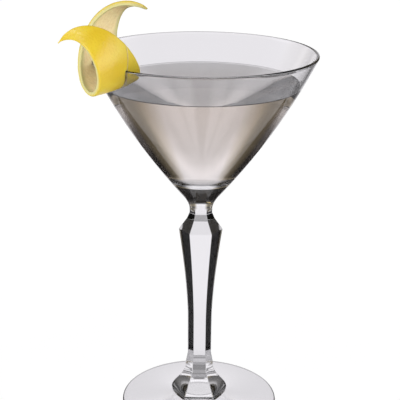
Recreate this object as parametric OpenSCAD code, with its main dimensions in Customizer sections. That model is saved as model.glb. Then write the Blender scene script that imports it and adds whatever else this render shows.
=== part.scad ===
// Martini cocktail: a stemmed cocktail glass with a faceted stem, the drink in it,
// and a curl of lemon peel slit onto the rim. Millimetres, +Z up, origin at the
// centre of the foot's underside.

/* [Bowl] */
// Height of the glass from the table to the rim
total_h = 180; // [165:1:220]
// Outer diameter of the rim
rim_d = 108; // [90:1:130]
// Thickness of the wall at the rim
wall_t = 1.3; // [1:0.1:1.8]
// Thickness of the wall where the bowl's solid bottom begins
wall_low_t = 2.2; // [1.8:0.1:3]
// How far the wall bulges out from a straight cone
wall_bow = 2.7; // [0:0.1:5]
// Outer diameter of the bowl where its cone ends and the throat begins
throat_d = 18.6; // [15:0.2:24]
// Height of the throat above the neck
throat_h = 9; // [7:0.5:12]
// Solid glass between the throat and the drink's lowest point
bottom_t = 8.7; // [3:0.1:10]

/* [Stem] */
// Height of the neck, where the bowl grows out of the stem
neck_h = 102; // [80:1:110]
// Size of the neck across its corners
neck_d = 11; // [9:0.2:14]
// Height of the collar band under the neck
band_h = 3.4; // [2:0.2:5]
// Size of the band's lower edge across its corners
band_d = 13.4; // [12:0.2:16]
// Drop from the band to the shoulder
shoulder_drop = 5.6; // [4:0.2:8]
// Size of the shoulder across its corners
shoulder_d = 21.3; // [18:0.2:26]
// Size of the straight lower stem across its corners
stem_d = 12; // [10:0.2:14]
// Height at which the taper meets the straight lower stem
taper_end_h = 46; // [40:1:56]
// Height at which the straight lower stem ends
prism_end_h = 26; // [22:1:30]

/* [Foot] */
// Diameter of the foot
foot_d = 78; // [64:1:90]
// Thickness of the foot at its edge
foot_edge_t = 1.8; // [1.2:0.1:3]
// Height of the foot's cone where it meets the boss
foot_rise = 4.6; // [3:0.2:6]
// Height of the faceted boss on the foot
boss_h = 18; // [14:0.5:21]
// Size of the boss's foot across its corners
boss_d = 28; // [24:0.5:34]
// Size of the boss's top across its corners
boss_top_d = 13.8; // [13:0.2:17]

/* [Drink] */
// Distance from the rim down to the drink's surface
fill_drop = 14.5; // [13:0.5:30]

/* [Lemon peel] */
// Bearing of the peel on the rim, anticlockwise from +X
peel_bearing = 218.4; // [0:0.1:359]
// Turn of the peel's curl about its seat, away from straight outwards
peel_swing = 13.6; // [0:0.1:20]
// Width of the peel at its widest
peel_w = 26.2; // [20:0.1:30]
// Thickness of the peel, skin and pith
peel_t = 2.1; // [1.6:0.1:3]
// Radius of the skin's curve across the width
skin_r = 46; // [28:1:60]
// Half-width of the loop that the peel curls into
loop_r = 14.7; // [12.5:0.1:17.7]
// Half-height of the loop
loop_h = 16.8; // [13:0.1:19]
// How deep the loop's lowest point hangs below the rim
loop_drop = 10.6; // [9:0.1:11.5]
// How far the loop's lowest point hangs inside the rim
loop_in = 3; // [2:0.1:4]
// Outward run of the curl for each half turn
loop_pitch = 16.9; // [14:0.1:20]
// Turn of the front half, from the lowest point to its tip
front_turn = 207; // [180:1:215]
// Drift of the front half from a true loop: outwards, sideways and up
front_drift = [14.9, -8.7, -5.5];
// Drift added towards the front tip
front_tip_drift = [-10.7, 6.2, -1.3];
// Twist of the front half after half a turn, growing evenly and towards the tip
front_twist = [50, 40];
// Turn of the back half, from the lowest point to its tip
back_turn = 227; // [200:1:235]
// Drift of the back half from a true loop: outwards, sideways and up
back_drift = [1.2, -8.4, -0.4];
// Drift added towards the back tip
back_tip_drift = [-4.3, -0.2, 2];
// Twist of the back half after half a turn, growing evenly and towards the tip
back_twist = [-4, -26];
// Room between the slit in the peel and the glass
slit_gap = 0.3; // [0.2:0.05:0.6]
// How far the slit runs on above the rim
slit_rise = 15; // [10:0.5:20]

/* [Hidden] */
$fn = 96;

rim_r = rim_d / 2;
level_h = total_h - fill_drop;
rim_bead_r = wall_t / 2 + 0.1;
throat_z = neck_h + throat_h;
// how far one sub-part of the glass reaches into the next
weld = 1;
floor_z = throat_z + bottom_t;
// end of the cone of the inner wall, as a share of the wall's length
floor_start = 0.2;
wall_steps = 24;
curve_steps = 10;
stem_sides = 6;
stem_steps = 12;
boss_steps = 6;
taper_power = 1.55;
// the band and the shoulder lie below the neck
band_z = neck_h - band_h;
shoulder_z = band_z - shoulder_drop;
// the lower stem flares into the boss
flare_z = boss_h + 3;
boss_base_z = foot_rise + 2.2;
// point where the boss's flare turns over its bulge, across the corners
boss_turn = [boss_d / 2 - 2.4, boss_base_z + 4.6];
peel_steps = 44;
peel_sides = 6;
peel_tip_w = 0.5;
// the strip thins where its half-width falls under this
thinning_w = 5;
thinning_power = 0.7;
// the pith side is cut back by this share of the width
pith_inset = 0.03;
// powers of the taper: the back half keeps its width for longer than the front half
front_fullness = 1.07;
back_fullness = 0.63;
// the loop lies a little to one side of its seat on the rim
loop_side = 0.7;
// the loop's lean at its lowest point, and how it grows over half a turn
loop_tilt = [-4.4, -19];
// the slit above the rim starts this far to the front of the seat
slit_start = 3;

// ---- curves ----

function mix(a, b, t) = a + (b - a) * t;
function unit(v) = v / norm(v);
// curve from a to c, pulled towards b, without its first point
function bend(a, b, c, n) = [for (i = [1:n]) let (t = i / n) mix(mix(a, b, t), mix(b, c, t), t)];

// ---- bowl ----

// the bowl's outer wall runs from the throat (t = 0) to the rim (t = 1) with a slight bulge
wall_foot = [throat_d / 2, throat_z];
wall_top = [rim_r, total_h - rim_bead_r];
wall_run = wall_top - wall_foot;
wall_out = unit([wall_run[1], -wall_run[0]]);
function wall_line(t) = mix(wall_foot, wall_top, t) + wall_out * wall_bow * 4 * t * (1 - t);
function wall_slope(t) = unit(wall_run + wall_out * wall_bow * 4 * (1 - 2 * t));
function wall_normal(t) = let (d = wall_slope(t)) [d[1], -d[0]];
// a point off the outer wall, outwards
function wall_point(t, off) = wall_line(t) + wall_normal(t) * off;
function wall_thickness(t) = mix(wall_low_t, wall_t, min(1, t * 2));

// where the tangent at the wall's foot crosses the neck's radius
throat_pull = [
    neck_d / 2,
    wall_foot[1] - (wall_foot[0] - neck_d / 2) * wall_slope(0)[1] / wall_slope(0)[0]
];

module bowl_outside() {
    rotate_extrude()
        polygon(concat(
            [[0, neck_h - weld], [neck_d / 2 - 0.6 * weld, neck_h - weld], [neck_d / 2, neck_h]],
            bend([neck_d / 2, neck_h], throat_pull, wall_foot, curve_steps),
            [for (i = [1:wall_steps]) wall_point(i / wall_steps, 0)],
            [wall_point(1, -wall_thickness(1)), [0, wall_top[1] - weld]]
        ));
    rotate_extrude()
        translate([rim_r - rim_bead_r, total_h - rim_bead_r]) circle(rim_bead_r);
}

// the bowl's hollow, from its rounded floor to above the rim
module bowl_hollow() {
    start = wall_point(floor_start, -wall_thickness(floor_start));
    slope = wall_slope(floor_start);
    pull = [start[0] - (start[1] - floor_z) * slope[0] / slope[1], floor_z];
    steps = [for (i = [wall_steps:-1:0]) mix(floor_start, 1, i / wall_steps)];
    top = wall_point(1, -wall_thickness(1));
    rotate_extrude()
        polygon(concat(
            [[0, total_h + 2], [top[0], total_h + 2]],
            [for (t = steps) wall_point(t, -wall_thickness(t))],
            bend(start, pull, [0, floor_z], curve_steps)
        ));
}

// ---- stem and foot ----

// corner radius of the tapered stem, u = 0 at the shoulder and 1 at the straight part
function taper_r(u) = mix(stem_d, shoulder_d, pow(1 - u, taper_power)) / 2;

module stem() {
    profile = concat(
        [[0, neck_h + 3 * weld], [neck_d / 2 - 0.3 * weld, neck_h + 3 * weld]],
        [[neck_d / 2, neck_h - 0.6 * weld]],
        [[band_d / 2, band_z]],
        [for (i = [0:stem_steps]) let (u = i / stem_steps) [taper_r(u), mix(shoulder_z, taper_end_h, u)]],
        [[stem_d / 2 - 0.1, prism_end_h]],
        bend([stem_d / 2 - 0.1, prism_end_h], [stem_d / 2, flare_z + 1], [boss_top_d / 2, flare_z], 4),
        [[boss_top_d / 2, boss_h], [0, boss_h]]
    );
    rotate_extrude($fn = stem_sides) polygon(profile);
}

module boss() {
    top = [boss_top_d / 2, boss_h + weld / 2];
    base = [boss_d / 2, boss_base_z];
    rotate_extrude($fn = stem_sides)
        polygon(concat(
            [[0, top[1]], top],
            bend(top, [boss_top_d / 2 + 0.7, boss_h - 2.6], boss_turn, boss_steps),
            bend(boss_turn, [boss_d / 2, boss_base_z + 2.2], base, boss_steps),
            [[boss_d / 2 - 0.6 * weld, foot_rise - 0.6 * weld], [0, foot_rise - 0.6 * weld]]
        ));
}

module foot() {
    edge_r = foot_edge_t / 2;
    foot_r = foot_d / 2;
    rotate_extrude()
        polygon(concat(
            [[0, 0], [foot_r - edge_r, 0]],
            [for (a = [-75:15:90]) [foot_r - edge_r + edge_r * cos(a), edge_r + edge_r * sin(a)]],
            bend([foot_r - edge_r, foot_edge_t], [foot_r * 0.55, foot_rise * 0.55],
                 [boss_d / 2, foot_rise], curve_steps),
            [[0, foot_rise + weld]]
        ));
}

module glass() {
    color([0.9, 0.93, 0.95, 0.4])
        difference() {
            union() {
                bowl_outside();
                stem();
                boss();
                foot();
            }
            bowl_hollow();
        }
}

// ---- drink ----

module drink() {
    color([0.78, 0.75, 0.7, 0.7])
        intersection() {
            bowl_hollow();
            cylinder(r = rim_r, h = level_h);
        }
}

// ---- lemon peel ----

// The peel is a long leaf-shaped strip curled once round an axis that points out over
// the rim. It is drawn with +X out over the rim, and a is the turn from its lowest point.

function loop_point(a) = let (t = a / 180, f = max(t, 0), b = min(t, 0))
    [
        loop_pitch * t - loop_in,
        loop_r * sin(a) + loop_side,
        loop_h * (1 - cos(a)) - loop_drop
    ]
    + front_drift * pow(f, 2) + front_tip_drift * pow(f, 3)
    + back_drift * pow(b, 2) - back_tip_drift * pow(b, 3);
function peel_run(a) = unit(loop_point(a + 0.5) - loop_point(a - 0.5));
// the skin's direction before the twist, square to the run
function loop_out_dir(a) = let (d = peel_run(a), n = [0, sin(a), -cos(a)]) unit(n - d * (n * d));
function peel_twist(a) = let (t = a / 180, grow = [t * t, pow(abs(t), 3)])
    loop_tilt * [1, t] + (a > 0 ? front_twist : back_twist) * grow;
// share of the way to the tip
function tip_share(a) = a > 0 ? a / front_turn : -a / back_turn;
function half_width(a) =
    let (fullness = a > 0 ? front_fullness : back_fullness)
    max(peel_tip_w, peel_w * pow(cos(90 * tip_share(a)), fullness)) / 2;
function peel_depth(a) = peel_t * pow(min(1, half_width(a) / thinning_w), thinning_power);

// one cross-section: the skin's edge from side to side, then the pith's edge back
function peel_section(a) =
    let (
        n = loop_out_dir(a),
        across = cross(peel_run(a), n),
        turn = peel_twist(a),
        side = across * cos(turn) + n * sin(turn),
        out = n * cos(turn) - across * sin(turn),
        w = half_width(a)
    )
    [for (layer = [0, 1], i = [0:peel_sides])
        let (
            edge = w * (1 - pith_inset * layer),
            v = edge * (1 - 2 * layer) * (2 * i / peel_sides - 1)
        )
        loop_point(a) + side * v - out * (v * v / (2 * skin_r) + layer * peel_depth(a))
    ];

// a closed tube through rings of points, each ring a list of the same length
module tube(rings) {
    n = len(rings[0]);
    last = len(rings) - 1;
    polyhedron(
        points = [for (ring = rings, p = ring) p],
        faces = concat(
            [[for (j = [0:n - 1]) j]],
            [for (i = [0:last - 1], j = [0:n - 1]) [i * n + j, (i + 1) * n + j, (i + 1) * n + (j + 1) % n]],
            [for (i = [0:last - 1], j = [0:n - 1]) [i * n + j, (i + 1) * n + (j + 1) % n, i * n + (j + 1) % n]],
            [[for (j = [n - 1:-1:0]) last * n + j]]
        ),
        convexity = 8
    );
}

// the rim's wall with the slit's room all round it
module rim_with_room() {
    low_t = 0.6;
    steps = 10;
    rotate_extrude()
        polygon(concat(
            [for (i = [0:steps]) wall_point(mix(low_t, 1, i / steps), slit_gap)],
            [[rim_r + slit_gap, total_h + slit_gap], [rim_r - wall_t - slit_gap - 0.3, total_h + slit_gap]],
            [for (i = [steps:-1:0]) wall_point(mix(low_t, 1, i / steps), -wall_t - slit_gap)]
        ));
}

// the slit above the rim, a thin sheet that carries on the wall's line in the front half
module slit_above_rim() {
    sheet_r = rim_r - wall_t / 2 + slit_gap / 2;
    rotate([0, 0, peel_bearing])
        intersection() {
            difference() {
                cylinder(r = sheet_r, h = total_h + slit_rise);
                cylinder(r = sheet_r - slit_gap, h = total_h + slit_rise);
            }
            translate([0, slit_start, total_h - rim_bead_r])
                cube(rim_d);
        }
}

module lemon_peel() {
    turns = [for (i = [-peel_steps:peel_steps])
        i / peel_steps * (i > 0 ? front_turn : back_turn)];
    color([0.93, 0.8, 0.25])
        difference() {
            rotate([0, 0, peel_bearing])
                translate([rim_r, 0, total_h])
                    rotate([0, 0, peel_swing])
                        tube([for (a = turns) peel_section(a)]);
            rim_with_room();
            slit_above_rim();
        }
}

glass();
drink();
lemon_peel();
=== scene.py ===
from math import cos, exp, pi, radians, sin

import bpy
from mathutils import Matrix, Vector


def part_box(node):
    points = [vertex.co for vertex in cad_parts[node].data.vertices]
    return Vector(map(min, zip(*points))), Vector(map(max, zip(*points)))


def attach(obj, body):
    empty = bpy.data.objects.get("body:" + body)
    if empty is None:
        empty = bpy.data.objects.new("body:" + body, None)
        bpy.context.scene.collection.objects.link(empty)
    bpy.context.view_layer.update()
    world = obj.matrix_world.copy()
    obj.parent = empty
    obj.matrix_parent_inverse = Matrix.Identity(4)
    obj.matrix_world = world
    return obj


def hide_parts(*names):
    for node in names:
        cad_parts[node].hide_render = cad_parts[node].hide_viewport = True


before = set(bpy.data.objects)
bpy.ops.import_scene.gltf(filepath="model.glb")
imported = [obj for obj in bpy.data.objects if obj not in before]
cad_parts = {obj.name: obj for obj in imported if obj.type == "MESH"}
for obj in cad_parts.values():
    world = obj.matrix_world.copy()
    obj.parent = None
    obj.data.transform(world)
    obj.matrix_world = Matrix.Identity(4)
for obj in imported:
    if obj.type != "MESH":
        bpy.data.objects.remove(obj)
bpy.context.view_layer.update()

# ======================================================================================
# The glass. Clear soda glass in one piece: the faceted stem and the foot are pressed, the
# thin cone of the bowl is blown and joined to the stem while hot, and the rim is fire
# polished to a small round bead. It stands on its foot and carries everything else.
# ======================================================================================

glass_high = Vector(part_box("glass")[1])
glass_height = glass_high.z
rim_radius = glass_high.x
wall_thin = 0.0013
wall_thick = 0.0022
wall_bow = 0.0027
rim_bead = wall_thin / 2 + 0.0001
neck_height = 0.102
neck_radius = 0.0055
throat = Vector((0.0093, neck_height + 0.009))
bowl_floor = throat.y + 0.0087
floor_start = 0.2
foot_radius = 0.039
foot_edge = 0.0009
foot_rise = 0.0046
stem_sides = 6
glass_around = 192


def mix(a, b, share):
    return a + (b - a) * share


def bend(start, pull, end, count):
    """A curve from start to end, drawn towards pull, without its first point."""
    shares = [i / count for i in range(1, count + 1)]
    return [mix(mix(start, pull, s), mix(pull, end, s), s) for s in shares]


def rounded(corners, radius, count=4):
    """The outline through corners, with each inner corner turned by a short curve."""
    outline = [corners[0]]
    for before, corner, after in zip(corners, corners[1:], corners[2:]):
        reach_in = min(radius, (before - corner).length * 0.45)
        reach_out = min(radius, (after - corner).length * 0.45)
        start = corner + (before - corner).normalized() * reach_in
        end = corner + (after - corner).normalized() * reach_out
        outline += [start, *bend(start, corner, end, count)]
    return outline + [corners[-1]]


# The outer wall runs from the throat (0) to the rim (1) with a slight outward bow.
wall_top = Vector((rim_radius, glass_height - rim_bead))
wall_run = wall_top - throat
wall_out = Vector((wall_run.y, -wall_run.x)).normalized()


def wall_slope(share):
    return (wall_run + wall_out * wall_bow * 4 * (1 - 2 * share)).normalized()


def wall_point(share, off):
    """A point off the outer wall, outwards if off is positive."""
    slope = wall_slope(share)
    line = mix(throat, wall_top, share) + wall_out * wall_bow * 4 * share * (1 - share)
    return line + Vector((slope.y, -slope.x)) * off


def inner_wall(share, sunk=0.0):
    """A point on the bowl's inner wall, or sunk into the glass behind it."""
    return wall_point(share, sunk - mix(wall_thick, wall_thin, min(1, share * 2)))


def bowl_inside(count, sunk=0.0):
    """The bowl's inner outline from the rim down to the middle of its rounded floor."""
    shares = [mix(1, floor_start, i / count) for i in range(count + 1)]
    start = inner_wall(floor_start, sunk)
    slope = wall_slope(floor_start)
    floor = bowl_floor - sunk
    pull = Vector((start.x - (start.y - floor) * slope.x / slope.y, floor))
    return [inner_wall(s, sunk) for s in shares] + bend(start, pull, Vector((0, floor)), 16)


def turned(name, outline, around, facets=None):
    """A mesh turned round the Z axis from an outline of (radius, height) points.

    Points on the axis become one pole. facets holds how far each ring is cut to facets."""
    points, rings, cuts = [], [], []
    for index, spot in enumerate(outline):
        count = 1 if spot.x < 1e-7 else around
        rings.append(range(len(points), len(points) + count))
        turns = [2 * pi * i / around for i in range(count)]
        points += [(spot.x * cos(t), spot.x * sin(t), spot.y) for t in turns]
        cuts += [facets[index] if facets else 0.0] * count
    faces = []
    for lower, upper in zip(rings, rings[1:]):
        for i in range(around):
            quad = [lower[i % len(lower)], lower[(i + 1) % len(lower)],
                    upper[(i + 1) % len(upper)], upper[i % len(upper)]]
            faces.append(list(dict.fromkeys(quad)))
    mesh = bpy.data.meshes.new(name)
    mesh.from_pydata(points, [], faces)
    mesh.attributes.new("facet", "FLOAT", "POINT").data.foreach_set("value", cuts)
    mesh.shade_smooth()
    piece = bpy.data.objects.new(name, mesh)
    bpy.context.collection.objects.link(piece)
    return piece


class Wire:
    """One output of a node tree. Arithmetic on it adds Math nodes."""

    def __init__(self, tree, socket):
        self.tree, self.socket = tree, socket

    def maths(self, operation, *values):
        return node(self.tree, "ShaderNodeMath", {"operation": operation}, dict(enumerate(values)))

    def __add__(self, other):
        return self.maths("ADD", self, other)

    def __radd__(self, other):
        return self.maths("ADD", other, self)

    def __sub__(self, other):
        return self.maths("SUBTRACT", self, other)

    def __rsub__(self, other):
        return self.maths("SUBTRACT", other, self)

    def __mul__(self, other):
        return self.maths("MULTIPLY", self, other)

    def __rmul__(self, other):
        return self.maths("MULTIPLY", other, self)

    def __truediv__(self, other):
        return self.maths("DIVIDE", self, other)

    def __rtruediv__(self, other):
        return self.maths("DIVIDE", other, self)

    def __pow__(self, other):
        return self.maths("POWER", self, other)


def node(tree, kind, settings=None, sockets=None, output=0):
    """Adds a node: its settings first, then the values or links of its sockets."""
    made = tree.nodes.new(kind)
    for key, value in (settings or {}).items():
        if key == "stops":
            ramp = made.color_ramp.elements
            while len(ramp) < len(value):
                ramp.new(0.5)
            for element, (place, colour) in zip(ramp, value):
                element.position, element.color = place, (*colour, 1)
        else:
            setattr(made, key, value)
    for key, value in (sockets or {}).items():
        if isinstance(value, Wire):
            tree.links.new(value.socket, made.inputs[key])
        else:
            made.inputs[key].default_value = value
    return Wire(tree, made.outputs[output])


def finish(name, shader_sockets, colour=(1, 1, 1)):
    """A new material with one Principled shader; returns it, its tree and the shader."""
    material = bpy.data.materials.new(name)
    material.use_nodes = True
    tree = material.node_tree
    shader = tree.nodes["Principled BSDF"]
    shader.inputs["Base Color"].default_value = (*colour, 1)
    for key, value in shader_sockets.items():
        shader.inputs[key].default_value = value
    return material, tree, shader


def modelled(piece, group, settings):
    """Runs a geometry tree on a piece once and keeps the result as its plain mesh."""
    modifier = piece.modifiers.new(group.name, "NODES")
    modifier.node_group = group
    for item in group.interface.items_tree:
        if item.item_type == "SOCKET" and item.in_out == "INPUT" and item.name in settings:
            modifier[item.identifier] = settings[item.name]
    evaluated = piece.evaluated_get(bpy.context.evaluated_depsgraph_get())
    mesh = bpy.data.meshes.new_from_object(evaluated)
    piece.modifiers.remove(modifier)
    piece.data = mesh
    return piece


def geometry_tree(name, inputs):
    """An empty geometry tree with a mesh in and out and the named inputs."""
    group = bpy.data.node_groups.new(name, "GeometryNodeTree")
    face = group.interface
    face.new_socket("Mesh", in_out="INPUT", socket_type="NodeSocketGeometry")
    face.new_socket("Mesh", in_out="OUTPUT", socket_type="NodeSocketGeometry")
    for label, (kind, value) in inputs.items():
        socket = face.new_socket(label, in_out="INPUT", socket_type=kind)
        if value is not None:
            socket.default_value = value
    start = group.nodes.new("NodeGroupInput")
    return group, {o.name: Wire(group, o) for o in start.outputs if o.name}


def close_tree(group, mesh, material):
    """Ends a geometry tree in Realize Instances and Set Material."""
    real = node(group, "GeometryNodeRealizeInstances", {}, {"Geometry": mesh})
    painted = node(group, "GeometryNodeSetMaterial", {}, {"Geometry": real, "Material": material})
    end = group.nodes.new("NodeGroupOutput")
    group.links.new(painted.socket, end.inputs[0])


# Clear glass: colourless, with the faint waviness of pressed glass and a trace of haze.
clear, tree, shader = finish(
    "clear_glass",
    {"Transmission Weight": 1.0, "IOR": 1.5, "Roughness": 0.0},
    (0.965, 0.965, 0.975),
)
place = node(tree, "ShaderNodeTexCoord", output="Object")
waves = node(tree, "ShaderNodeTexNoise", {}, {"Vector": place, "Scale": 90.0, "Detail": 1.0})
haze = node(tree, "ShaderNodeTexNoise", {}, {"Vector": place, "Scale": 260.0, "Detail": 3.0})
smear = haze.maths("MULTIPLY", haze.maths("SUBTRACT", haze, 0.55), 0.02)
tree.links.new(smear.maths("MAXIMUM", smear, 0.0).socket, shader.inputs["Roughness"])
bump = node(tree, "ShaderNodeBump", {}, {"Height": waves, "Strength": 0.02, "Distance": 0.0004})
tree.links.new(bump.socket, shader.inputs["Normal"])

# The facets' rule: a ring's radius is cut back to the flats of a polygon whose corners
# are slightly rounded, as far as the ring's facet value says.
facet_tree, given = geometry_tree("stem_facets", {
    "Sides": ("NodeSocketFloat", 6.0),
    "Crispness": ("NodeSocketFloat", 70.0),
    "Material": ("NodeSocketMaterial", None),
})
cut = node(facet_tree, "GeometryNodeInputNamedAttribute", {"data_type": "FLOAT"}, {"Name": "facet"})
at = node(facet_tree, "GeometryNodeInputPosition")
split = facet_tree.nodes.new("ShaderNodeSeparateXYZ")
facet_tree.links.new(at.socket, split.inputs[0])
x, y, z = (Wire(facet_tree, out) for out in split.outputs)
step = 2 * pi / given["Sides"]
bearing = at.maths("ARCTAN2", y, x)
off_flat = at.maths("ABSOLUTE", at.maths("FLOORED_MODULO", bearing, step) - step / 2)
near_flat = at.maths("COSINE", off_flat) ** given["Crispness"]
next_flat = at.maths("COSINE", step - off_flat) ** given["Crispness"]
flat_share = at.maths("COSINE", step / 2) / (near_flat + next_flat) ** (1 / given["Crispness"])
grown = 1 + cut * (flat_share - 1)
moved = node(facet_tree, "ShaderNodeCombineXYZ", {}, {"X": x * grown, "Y": y * grown, "Z": z})
shaped = node(facet_tree, "GeometryNodeSetPosition", {}, {"Geometry": given["Mesh"], "Position": moved})
close_tree(facet_tree, shaped, given["Material"])

# The outline climbs from the middle of the underside, over the foot, boss, stem and bowl
# to the rim, and comes back down the inside. Each stretch says how far it is faceted.
foot_edge_middle = Vector((foot_radius - foot_edge, foot_edge))
foot_top = Vector((foot_radius - foot_edge, 2 * foot_edge))
foot_inner = Vector((0.013, foot_rise))
boss_foot = Vector((0.0134, foot_rise - 0.0006))
boss_base = Vector((0.014, foot_rise + 0.0022))
boss_bulge = Vector((0.014, foot_rise + 0.0044))
boss_turn = Vector((0.0116, foot_rise + 0.0068))
boss_hollow = Vector((0.0076, 0.0154))
boss_top = Vector((0.0069, 0.0185))
collar = Vector((0.0069, 0.021))
prism_foot = Vector((0.0059, 0.026))
taper_end = Vector((0.006, 0.046))
shoulder = Vector((0.01065, 0.093))
band = Vector((0.0067, 0.0986))
neck_low = Vector((0.0055, 0.1014))
neck_top = Vector((neck_radius, 0.1035))
facet_softness = 0.0004


def taper(share):
    """The stem's corner radius and height, from the shoulder down to the straight part."""
    return Vector((mix(taper_end.x, shoulder.x, (1 - share) ** 1.55), mix(shoulder.y, taper_end.y, share)))


stretches = [
    (0.0, [Vector((0, 0)), Vector((foot_radius * 0.4, 0)), Vector((foot_radius - foot_edge, 0))]),
    (0.0, [foot_edge_middle + Vector((cos(radians(a)), sin(radians(a)))) * foot_edge
           for a in range(-80, 91, 10)]),
    (0.0, bend(foot_top, Vector((foot_radius * 0.55, foot_rise * 0.55)), foot_inner, 20)),
    (1.0, rounded([
        boss_foot,
        boss_base,
        *bend(boss_base, boss_bulge, boss_turn, 8),
        *bend(boss_turn, boss_hollow, boss_top, 8),
        collar,
        prism_foot,
        *[taper(1 - i / 20) for i in range(21)],
        band,
        neck_low,
        neck_top,
    ], facet_softness)),
    (0.0, bend(neck_top, Vector((neck_radius, 0.1066)), throat, 16)),
    (0.0, [wall_point(i / 60, 0) for i in range(1, 61)]),
    (0.0, [wall_top + Vector((cos(radians(a)) - 1, sin(radians(a)))) * rim_bead for a in range(20, 181, 20)]),
    (0.0, bowl_inside(60)[1:]),
]
outline, facets = [], []
for faceted, stretch in stretches:
    for spot in stretch:
        outline.append(spot)
        facets.append(faceted)

glass = turned("glass_body", outline, glass_around, facets)
modelled(glass, facet_tree, {"Sides": float(stem_sides), "Crispness": 150.0, "Material": clear})
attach(glass, "root")
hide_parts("glass")

# ======================================================================================
# The drink. A clear, very pale straw mix of spirit and vermouth, poured in to its level.
# Its skin climbs the glass in a small meniscus, and its outside lies just in the wall, so
# that no air shows between the two.
# ======================================================================================

drink_high = Vector(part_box("drink")[1])
level = drink_high.z
wetting = 0.0003
meniscus_rise = 0.0005
meniscus_reach = 0.0006

wet_wall = [p for p in bowl_inside(80, wetting) if p.y < level + meniscus_rise]
edge_radius = wet_wall[0].x
surface = []
for i in range(1, 49):
    r = edge_radius * (1 - i / 48) ** 2 if i > 24 else edge_radius - (edge_radius * 0.75) * (i / 24) ** 3
    surface.append(Vector((r, level + meniscus_rise * exp(-(edge_radius - r) / meniscus_reach))))
surface[-1] = Vector((0, level))
drink = turned("drink_body", list(reversed(wet_wall)) + surface, glass_around)

straw, tree, shader = finish(
    "pale_straw_drink",
    {"Transmission Weight": 1.0, "IOR": 1.35, "Roughness": 0.0},
)
place = node(tree, "ShaderNodeTexCoord", output="Object")
ripple = node(tree, "ShaderNodeTexNoise", {}, {"Vector": place, "Scale": 40.0, "Detail": 1.0})
bump = node(tree, "ShaderNodeBump", {}, {"Height": ripple, "Strength": 0.02, "Distance": 0.0005})
tree.links.new(bump.socket, shader.inputs["Normal"])
tint = node(tree, "ShaderNodeVolumeAbsorption", {}, {"Color": (0.625, 0.46, 0.30, 1), "Density": 8.0})
tree.links.new(tint.socket, tree.nodes["Material Output"].inputs["Volume"])
drink.data.materials.append(straw)
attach(drink, "root")
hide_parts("drink")

# ======================================================================================
# The lemon peel. One leaf-shaped strip of waxy skin with its white pith, curled once round
# on itself so that its two tips cross, slit with a knife and pushed down over the rim.
# ======================================================================================

peel_bearing = radians(218.4)
peel_swing = radians(13.6)
peel_width = 0.0262
peel_depth = 0.0021
skin_radius = 0.046
loop_half_width = 0.0147
loop_half_height = 0.0168
loop_pitch = 0.0169
loop_drop = 0.0106
loop_in = 0.003
loop_side = 0.0007
loop_lean = (-4.4, -19)
front_turn = 207
back_turn = 227
front_taper = 1.07
back_taper = 0.63
front_drift = (Vector((0.0149, -0.0087, -0.0055)), Vector((-0.0107, 0.0062, -0.0013)))
back_drift = (Vector((0.0012, -0.0084, -0.0004)), Vector((-0.0043, -0.0002, 0.002)))
front_twist = (50, 40)
back_twist = (-4, -26)
slit_gap = 0.0003
slit_rise = 0.015
slit_start = 0.003
peel_along = 400
skin_across = 72
pith_across = 40
edge_steps = 5
cut_band = 0.0028
cut_tint = 0.35
rind_fade = 0.28


def loop_point(turn):
    """The middle of the skin, turn degrees on from the loop's lowest point."""
    half_turns = turn / 180
    early, late = front_drift if turn > 0 else back_drift
    loop = Vector((
        loop_pitch * half_turns - loop_in,
        loop_half_width * sin(radians(turn)) + loop_side,
        loop_half_height * (1 - cos(radians(turn))) - loop_drop,
    ))
    return loop + early * half_turns ** 2 + late * abs(half_turns) ** 3


def peel_ring(turn):
    """One section of the strip as (point, rind, skin) from edge to edge and back."""
    run = (loop_point(turn + 0.5) - loop_point(turn - 0.5)).normalized()
    out = Vector((0, sin(radians(turn)), -cos(radians(turn))))
    out = (out - run * out.dot(run)).normalized()
    across = run.cross(out)
    half_turns = turn / 180
    early, late = front_twist if turn > 0 else back_twist
    lean = loop_lean[0] + loop_lean[1] * half_turns
    twist = radians(lean + early * half_turns ** 2 + late * abs(half_turns) ** 3)
    side = across * cos(twist) + out * sin(twist)
    out = out * cos(twist) - across * sin(twist)
    share = turn / front_turn if turn > 0 else -turn / back_turn
    taper_power = front_taper if turn > 0 else back_taper
    half = max(0.00025, peel_width / 2 * cos(radians(90 * share)) ** taper_power)
    deep = peel_depth * min(1, half / 0.005) ** 0.7
    corner = min(deep * 0.28, half * 0.5)
    middle = loop_point(turn)

    def spot(v, down):
        return middle + side * v - out * (v * v / (2 * skin_radius) + down)

    ring = []
    for i in range(skin_across + 1):
        v = mix(-half + corner, half - corner, i / skin_across)
        ring.append((spot(v, 0), 1.0, 1.0))
    for i in range(1, edge_steps + 1):
        a = radians(90 * i / edge_steps)
        turned_edge = spot(half - corner + corner * sin(a), corner * (1 - cos(a)))
        ring.append((turned_edge, 1 - rind_fade * i / edge_steps, 0.0))
    for i in range(1, edge_steps + 1):
        ring.append((spot(half - 0.03 * half * i / edge_steps, mix(corner, deep, i / edge_steps)),
                     mix(1 - rind_fade, cut_tint, i / edge_steps), 0.0))
    for i in range(1, pith_across):
        v = mix(half * 0.97, -half * 0.97, i / pith_across)
        ring.append((spot(v, deep), cut_tint * max(0, 1 - (half * 0.97 - abs(v)) / cut_band), 0.0))
    for i in range(edge_steps):
        ring.append((spot(-half * 0.97 - 0.03 * half * i / edge_steps, mix(deep, corner, i / edge_steps)),
                     mix(cut_tint, 1 - rind_fade, i / edge_steps), 0.0))
    for i in range(edge_steps):
        a = radians(90 - 90 * i / edge_steps)
        turned_edge = spot(-half + corner - corner * sin(a), corner * (1 - cos(a)))
        ring.append((turned_edge, 1 - rind_fade + rind_fade * i / edge_steps, 0.0))
    return ring


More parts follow.
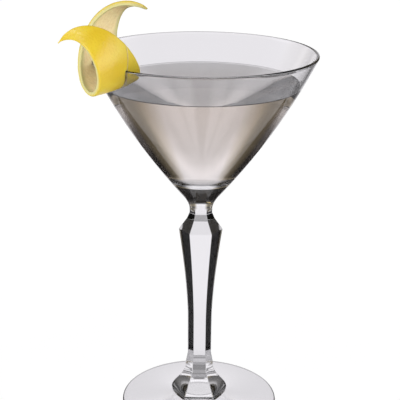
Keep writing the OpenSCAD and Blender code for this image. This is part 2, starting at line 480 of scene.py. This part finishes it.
seat = (
    Matrix.Rotation(peel_bearing, 4, "Z")
    @ Matrix.Translation((rim_radius, 0, glass_height))
    @ Matrix.Rotation(peel_swing, 4, "Z")
)
points, rinds, skins = [], [], []
for i in range(-peel_along // 2, peel_along // 2 + 1):
    share = 2 * i / peel_along
    for spot, rind, skin in peel_ring(share * (front_turn if share > 0 else back_turn)):
        points.append(seat @ spot)
        rinds.append(rind)
        skins.append(skin)
ring_size = len(points) // (peel_along + 1)
faces = [list(range(ring_size)), [peel_along * ring_size + j for j in reversed(range(ring_size))]]
for i in range(peel_along):
    for j in range(ring_size):
        k = (j + 1) % ring_size
        faces.append([i * ring_size + j, (i + 1) * ring_size + j, (i + 1) * ring_size + k, i * ring_size + k])
mesh = bpy.data.meshes.new("lemon_peel_curl")
mesh.from_pydata(points, [], faces)
mesh.attributes.new("rind", "FLOAT", "POINT").data.foreach_set("value", rinds)
mesh.attributes.new("skin", "FLOAT", "POINT").data.foreach_set("value", skins)
mesh.shade_smooth()
peel = bpy.data.objects.new("lemon_peel_curl", mesh)
bpy.context.collection.objects.link(peel)

# Lemon rind: waxy yellow with darker oil pores, cream pith, a pale band at the cut.
rind_finish, tree, shader = finish(
    "lemon_rind",
    {"IOR": 1.45, "Subsurface Weight": 0.12, "Subsurface Radius": (1.0, 0.6, 0.2), "Subsurface Scale": 0.002},
)
place = node(tree, "ShaderNodeTexCoord", output="Object")
rind = node(tree, "ShaderNodeAttribute", {"attribute_name": "rind"}, output="Fac")
pore = node(tree, "ShaderNodeAttribute", {"attribute_name": "pore"}, output="Fac")
patches = node(tree, "ShaderNodeTexNoise", {}, {"Vector": place, "Scale": 70.0, "Detail": 2.0})
fibres = node(tree, "ShaderNodeTexNoise", {}, {"Vector": place, "Scale": 900.0, "Detail": 4.0})
yellow = node(tree, "ShaderNodeValToRGB", {"stops": [(0.3, (0.62, 0.43, 0.022)), (0.7, (0.70, 0.55, 0.045))]},
              {"Fac": patches})
cream = node(tree, "ShaderNodeValToRGB", {"stops": [(0.3, (0.82, 0.66, 0.34)), (0.7, (0.94, 0.80, 0.47))]},
             {"Fac": fibres})
layer = node(tree, "ShaderNodeValToRGB", {"stops": [(0.5, (0, 0, 0)), (0.85, (1, 1, 1))]}, {"Fac": rind})
near_cut = node(tree, "ShaderNodeValToRGB", {"stops": [(0.0, (0, 0, 0)), (0.28, (1, 1, 1))]}, {"Fac": rind})
inside = node(tree, "ShaderNodeMix", {"data_type": "RGBA"},
              {"Factor": near_cut, 6: cream, 7: (0.60, 0.56, 0.25, 1)}, 2)
body = node(tree, "ShaderNodeMix", {"data_type": "RGBA"}, {"Factor": layer, 6: inside, 7: yellow}, 2)
dark_pore = node(tree, "ShaderNodeMix", {"data_type": "RGBA", "blend_type": "MULTIPLY"},
                 {"Factor": pore * 0.25, 6: body, 7: (0.80, 0.66, 0.30, 1)}, 2)
tree.links.new(dark_pore.socket, shader.inputs["Base Color"])
tree.links.new((0.75 - rind * 0.4).socket, shader.inputs["Roughness"])
bump = node(tree, "ShaderNodeBump", {}, {"Height": fibres, "Strength": 0.35, "Distance": 0.0003})
tree.links.new(bump.socket, shader.inputs["Normal"])

# The relief: oil pores as round dimples in the skin, and soft unevenness all over.
relief_tree, given = geometry_tree("rind_relief", {
    "Pore spacing": ("NodeSocketFloat", 0.0011),
    "Pore radius": ("NodeSocketFloat", 0.0004),
    "Pore depth": ("NodeSocketFloat", 0.0001),
    "Unevenness": ("NodeSocketFloat", 0.0003),
    "Seed": ("NodeSocketInt", 7),
    "Material": ("NodeSocketMaterial", None),
})
skin = node(relief_tree, "GeometryNodeInputNamedAttribute", {"data_type": "FLOAT"}, {"Name": "skin"})
pores = node(relief_tree, "GeometryNodeDistributePointsOnFaces", {"distribute_method": "POISSON"},
             {"Mesh": given["Mesh"], "Selection": skin, "Distance Min": given["Pore spacing"],
              "Density Max": 4e6, "Seed": given["Seed"]})
reach = node(relief_tree, "GeometryNodeProximity", {"target_element": "POINTS"}, {"Geometry": pores}, 1)
dip = skin * reach.maths("MAXIMUM", 1 - reach / given["Pore radius"], 0.0)
dip = dip * dip * (3 - 2 * dip)
marked = node(relief_tree, "GeometryNodeStoreNamedAttribute", {"data_type": "FLOAT", "domain": "POINT"},
              {"Geometry": given["Mesh"], "Name": "pore", "Value": dip})
lumps = node(relief_tree, "ShaderNodeTexNoise", {}, {"Scale": 180.0, "Detail": 2.0})
lift = (lumps - 0.5) * given["Unevenness"] - dip * given["Pore depth"]
outward = node(relief_tree, "GeometryNodeInputNormal")
push = node(relief_tree, "ShaderNodeVectorMath", {"operation": "SCALE"}, {0: outward, "Scale": lift})
raised = node(relief_tree, "GeometryNodeSetPosition", {}, {"Geometry": marked, "Offset": push})
close_tree(relief_tree, raised, given["Material"])
modelled(peel, relief_tree, {"Pore spacing": 0.0014, "Pore radius": 0.0004, "Pore depth": 0.00006,
                             "Unevenness": 0.0003, "Seed": 7, "Material": rind_finish})

# The slit: the rim's wall with a little room all round it, and above the rim a thin sheet
# that carries on the wall's line through the front half, are cut out of the strip.
low_share = 0.6
wall_knife = [wall_point(mix(low_share, 1, i / 10), slit_gap) for i in range(11)]
wall_knife += [Vector((rim_radius + slit_gap, glass_height + slit_gap)),
               Vector((rim_radius - wall_thin - slit_gap, glass_height + slit_gap))]
wall_knife += [wall_point(mix(1, low_share, i / 10), -wall_thin - slit_gap) for i in range(11)]
wall_knife.append(wall_knife[0])
sheet_radius = rim_radius - wall_thin / 2
sheet_corners = [Vector((sheet_radius + side * slit_gap / 2, glass_height + up))
                 for side, up in ((1, -rim_bead), (1, slit_rise), (-1, slit_rise), (-1, -rim_bead))]


def cut_away(piece, knife):
    """Cuts the knife's shape out of a piece for good, and puts the knife away."""
    modifier = piece.modifiers.new("cut", "BOOLEAN")
    modifier.operation = "DIFFERENCE"
    modifier.solver = "EXACT"
    modifier.object = knife
    evaluated = piece.evaluated_get(bpy.context.evaluated_depsgraph_get())
    mesh = bpy.data.meshes.new_from_object(evaluated)
    piece.modifiers.remove(modifier)
    piece.data = mesh
    bpy.data.objects.remove(knife)


cut_away(peel, turned("wall_knife", wall_knife, glass_around))
first = peel_bearing + slit_start / rim_radius
sheet_steps = 39
sheet_bearings = [first + radians(2 * i) for i in range(sheet_steps + 1)]
sheet_points = [(p.x * cos(t), p.x * sin(t), p.y) for t in sheet_bearings for p in sheet_corners]
sheet_faces = [[0, 1, 2, 3], [4 * sheet_steps + j for j in (3, 2, 1, 0)]]
for i in range(sheet_steps):
    for j in range(4):
        k = (j + 1) % 4
        sheet_faces.append([4 * i + j, 4 * i + 4 + j, 4 * i + 4 + k, 4 * i + k])
sheet_mesh = bpy.data.meshes.new("sheet_knife")
sheet_mesh.from_pydata(sheet_points, [], sheet_faces)
sheet_knife = bpy.data.objects.new("sheet_knife", sheet_mesh)
bpy.context.collection.objects.link(sheet_knife)
cut_away(peel, sheet_knife)
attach(peel, "root")
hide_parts("lemon_peel")

# ======================================================================================
# The studio: a white floor and backdrop, and the surround that the clear glass shows. That
# has a bright window behind, in front and at each side, with dimmer stretches between, and
# it is dark overhead. What lies in front is weaker in its window and lighter between.
# ======================================================================================

world = bpy.data.worlds.new("studio")
bpy.context.scene.world = world
world.use_nodes = True
bpy.context.scene.view_settings.view_transform = "Standard"
tree = world.node_tree
direction = node(tree, "ShaderNodeTexCoord", output="Generated")
split = tree.nodes.new("ShaderNodeSeparateXYZ")
tree.links.new(direction.socket, split.inputs[0])
x, y, z = (Wire(tree, out) for out in split.outputs)


def grey_ramp(at, stops):
    """Brightness by an angle in degrees, from the stops' (angle, brightness) pairs."""
    low, high = stops[0][0], stops[-1][0]
    spots = [((angle - low) / (high - low), (bright,) * 3) for angle, bright in stops]
    return node(tree, "ShaderNodeValToRGB", {"stops": spots}, {"Fac": (at - low) / (high - low)})


# quarter is the bearing, from 0 at the middle of a window to 45 at a corner; rise is the
# height over the horizon. Both are in degrees.
quarter = x.maths("PINGPONG", x.maths("ARCTAN2", x, y), pi / 4) * (180 / pi)
rise = x.maths("ARCSINE", z) * (180 / pi)
window = grey_ramp(quarter, [(0, 1.0), (12, 1.0), (22, 0.12), (26, 0.0), (37, 0.0), (45, 0.6)])
bright = grey_ramp(rise, [
    (-90, 0.4), (-55, 0.42), (-45, 0.34), (-41, 0.55), (-38, 0.8), (-33, 0.82), (-19, 0.9), (2, 0.9),
    (9, 0.9), (13, 0.85), (16, 1.2), (20, 0.9), (27, 0.25), (36, 0.02), (90, 0.02),
])
back_dim = grey_ramp(rise, [
    (-90, 0.7), (-45, 0.6), (-38, 0.5), (-30, 0.2), (-3, 0.1), (3, 0.04), (8, 0.2), (20, 0.2),
    (36, 0.02), (90, 0.02),
])
front_dim = grey_ramp(rise, [
    (-90, 1.0), (-40, 1.0), (-30, 0.7), (-3, 0.6), (3, 0.3), (20, 0.3), (36, 0.02), (90, 0.02),
])
in_front = grey_ramp(y, [(-0.3, 1.0), (0.0, 0.0)])
dim = back_dim + (front_dim - back_dim) * in_front
light = bright * window * (1 - 0.35 * in_front) + dim * (1 - window)
olive = grey_ramp(rise, [(-90, 0.0), (0, 0.0), (8, 1.0), (90, 1.0)]) * (1 - window)
shade = node(tree, "ShaderNodeCombineXYZ", {}, {
    "X": light, "Y": light * (0.98 - 0.12 * olive), "Z": light * (1.01 - 0.4 * olive)})
seen = node(tree, "ShaderNodeLightPath", output="Is Camera Ray")
surround = node(tree, "ShaderNodeMix", {"data_type": "RGBA"}, {"Factor": seen, 6: shade, 7: (1, 1, 1, 1)}, 2)
tree.links.new(surround.socket, tree.nodes["Background"].inputs["Color"])

paper, tree, shader = finish("white_paper", {"Roughness": 0.9, "Emission Strength": 1.0}, (0, 0, 0))
shader.inputs["Emission Color"].default_value = (1, 1, 1, 1)
floor_mesh = bpy.data.meshes.new("floor")
floor_corners = [(x_side * 6, y_side * 6, -0.0003) for x_side, y_side in ((-1, -1), (1, -1), (1, 1), (-1, 1))]
floor_mesh.from_pydata(floor_corners, [], [(0, 1, 2, 3)])
floor_mesh.materials.append(paper)
floor = bpy.data.objects.new("floor", floor_mesh)
floor.visible_transmission = False
floor.visible_glossy = False
bpy.context.collection.objects.link(floor)

# Two dark felt screens stand across the corners behind and darken the stem's slanting facets.
felt, tree, shader = finish(
    "black_felt", {"Roughness": 1.0, "Specular IOR Level": 0.0}, (0.004, 0.004, 0.004)
)
screen_near, screen_far, screen_height = 0.046, 0.13, 0.085
screen_half_turn = 21
screen_lift = 0.0005
screen_points, screen_faces = [], []
for corner in (45, 135):
    for turn in (corner - screen_half_turn, corner + screen_half_turn):
        for reach, up in ((screen_near, screen_lift), (screen_far, screen_lift), (screen_far, screen_height)):
            screen_points.append((reach * cos(radians(turn)), reach * sin(radians(turn)), up))
    k = len(screen_points) - 6
    screen_faces += [(k, k + 1, k + 4, k + 3), (k + 1, k + 2, k + 5, k + 4)]
screen_mesh = bpy.data.meshes.new("dark_screens")
screen_mesh.from_pydata(screen_points, [], screen_faces)
screen_mesh.materials.append(felt)
screens = bpy.data.objects.new("dark_screens", screen_mesh)
screens.visible_camera = False
screens.visible_diffuse = False
screens.visible_shadow = False
bpy.context.collection.objects.link(screens)

# The lamps light the peel alone, so the glass shows no lamp.
lit = bpy.data.collections.new("lit_by_lamps")
lit.objects.link(peel)


def lamp(name, place, size, power):
    """A square soft lamp that faces the bowl."""
    data = bpy.data.lights.new(name, "AREA")
    data.size, data.energy = size, power
    made = bpy.data.objects.new(name, data)
    made.location = place
    made.rotation_euler = (Vector((0, 0, 0.18)) - Vector(place)).to_track_quat("-Z", "Y").to_euler()
    made.light_linking.receiver_collection = lit
    bpy.context.collection.objects.link(made)


lamp("key", (-0.9, -1.1, 1.0), 0.6, 22.0)
lamp("fill", (1.3, -0.6, 0.5), 1.2, 17.0)

camera_data = bpy.data.cameras.new("camera")
camera_data.sensor_width = 36.0
camera_data.lens = 99.0
camera_data.clip_start = 0.01
camera = bpy.data.objects.new("camera", camera_data)
camera.matrix_world = (
    Matrix.Translation((-0.0005, -0.503, 0.2805))
    @ Matrix.Rotation(radians(90 - 18.96), 4, "X")
    @ Matrix.Rotation(radians(0.6), 4, "Z")
)
bpy.context.collection.objects.link(camera)
bpy.context.scene.camera = camera
